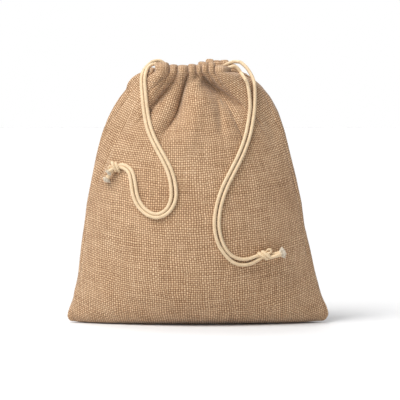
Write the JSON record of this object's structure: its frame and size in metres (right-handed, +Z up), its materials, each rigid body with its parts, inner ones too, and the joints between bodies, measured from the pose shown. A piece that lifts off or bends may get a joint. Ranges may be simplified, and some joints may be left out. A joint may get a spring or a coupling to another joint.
{
  "type": "drawstring gift pouch",
  "caption": "Standing jute pouch with a gathered mouth, drawcord tunnels and a knotted pair of free cords at each side.",
  "frame": {"origin": "centre of the base, on the surface that the pouch stands on", "axes": "+Z up towards the mouth, X along the width, the front wall faces -Y"},
  "size_m": [0.2444, 0.1012, 0.254],
  "materials": {
    "jute_cloth": "coarse plain weave",
    "cotton_cord": "smooth waxed round cord",
    "sewing_thread": "matt spun thread",
    "cut_fibre": "frayed cut fibre"
  },
  "bodies": {
    "pouch": {"front_panel": "jute_cloth", "rear_panel": "jute_cloth", "left_side_seam": "sewing_thread", "right_side_seam": "sewing_thread", "bottom_seam": "sewing_thread", "left_overlock": "sewing_thread", "right_overlock": "sewing_thread", "bottom_overlock": "sewing_thread", "left_cord_bight": "cotton_cord", "right_cord_bight": "cotton_cord"},
    "front_hem": {"front_tunnel": "jute_cloth", "front_tunnel_stitching": "sewing_thread"},
    "rear_hem": {"rear_tunnel": "jute_cloth", "rear_tunnel_stitching": "sewing_thread"},
    "left_tail": {"left_cord_front_strand": "cotton_cord", "left_cord_rear_strand": "cotton_cord", "left_cord_knot": "cotton_cord", "left_cord_ends": "cotton_cord", "left_cord_tips": "cut_fibre"},
    "left_front_run": {"left_cord_front_run": "cotton_cord"},
    "left_rear_run": {"left_cord_rear_run": "cotton_cord"},
    "right_tail": {"right_cord_front_strand": "cotton_cord", "right_cord_rear_strand": "cotton_cord", "right_cord_knot": "cotton_cord", "right_cord_ends": "cotton_cord", "right_cord_tips": "cut_fibre"},
    "right_front_run": {"right_cord_front_run": "cotton_cord"},
    "right_rear_run": {"right_cord_rear_run": "cotton_cord"}
  },
  "joints": [
    {"name": "mouth_front", "type": "hinge", "parent": "pouch", "child": "front_hem", "pos_m": [0, -0.0195, 0.22915], "axis": [1, 0, 0], "range_deg": [0, 25]},
    {"name": "mouth_rear", "type": "hinge", "parent": "pouch", "child": "rear_hem", "pos_m": [0, 0.0195, 0.22915], "axis": [1, 0, 0], "range_deg": [-25, 0]},
    {"name": "left_cord_pull", "type": "slide", "parent": "pouch", "child": "left_tail", "axis": [-1, 0, 0], "range_m": [0, 0.025]},
    {"name": "left_front_run_tilt", "type": "hinge", "parent": "left_tail", "child": "left_front_run", "pos_m": [0, -0.0195, 0.22915], "axis": [1, 0, 0], "range_deg": [0, 25]},
    {"name": "left_rear_run_tilt", "type": "hinge", "parent": "left_tail", "child": "left_rear_run", "pos_m": [0, 0.0195, 0.22915], "axis": [1, 0, 0], "range_deg": [-25, 0]},
    {"name": "right_cord_pull", "type": "slide", "parent": "pouch", "child": "right_tail", "axis": [1, 0, 0], "range_m": [0, 0.025]},
    {"name": "right_front_run_tilt", "type": "hinge", "parent": "right_tail", "child": "right_front_run", "pos_m": [0, -0.0195, 0.22915], "axis": [1, 0, 0], "range_deg": [0, 25]},
    {"name": "right_rear_run_tilt", "type": "hinge", "parent": "right_tail", "child": "right_rear_run", "pos_m": [0, 0.0195, 0.22915], "axis": [1, 0, 0], "range_deg": [-25, 0]}
  ],
  "couplings": [
    {"joint": "mouth_rear", "follows": "mouth_front", "ratio": -1},
    {"joint": "left_front_run_tilt", "follows": "mouth_front", "ratio": 1},
    {"joint": "left_rear_run_tilt", "follows": "mouth_front", "ratio": -1},
    {"joint": "right_front_run_tilt", "follows": "mouth_front", "ratio": 1},
    {"joint": "right_rear_run_tilt", "follows": "mouth_front", "ratio": -1}
  ]
}
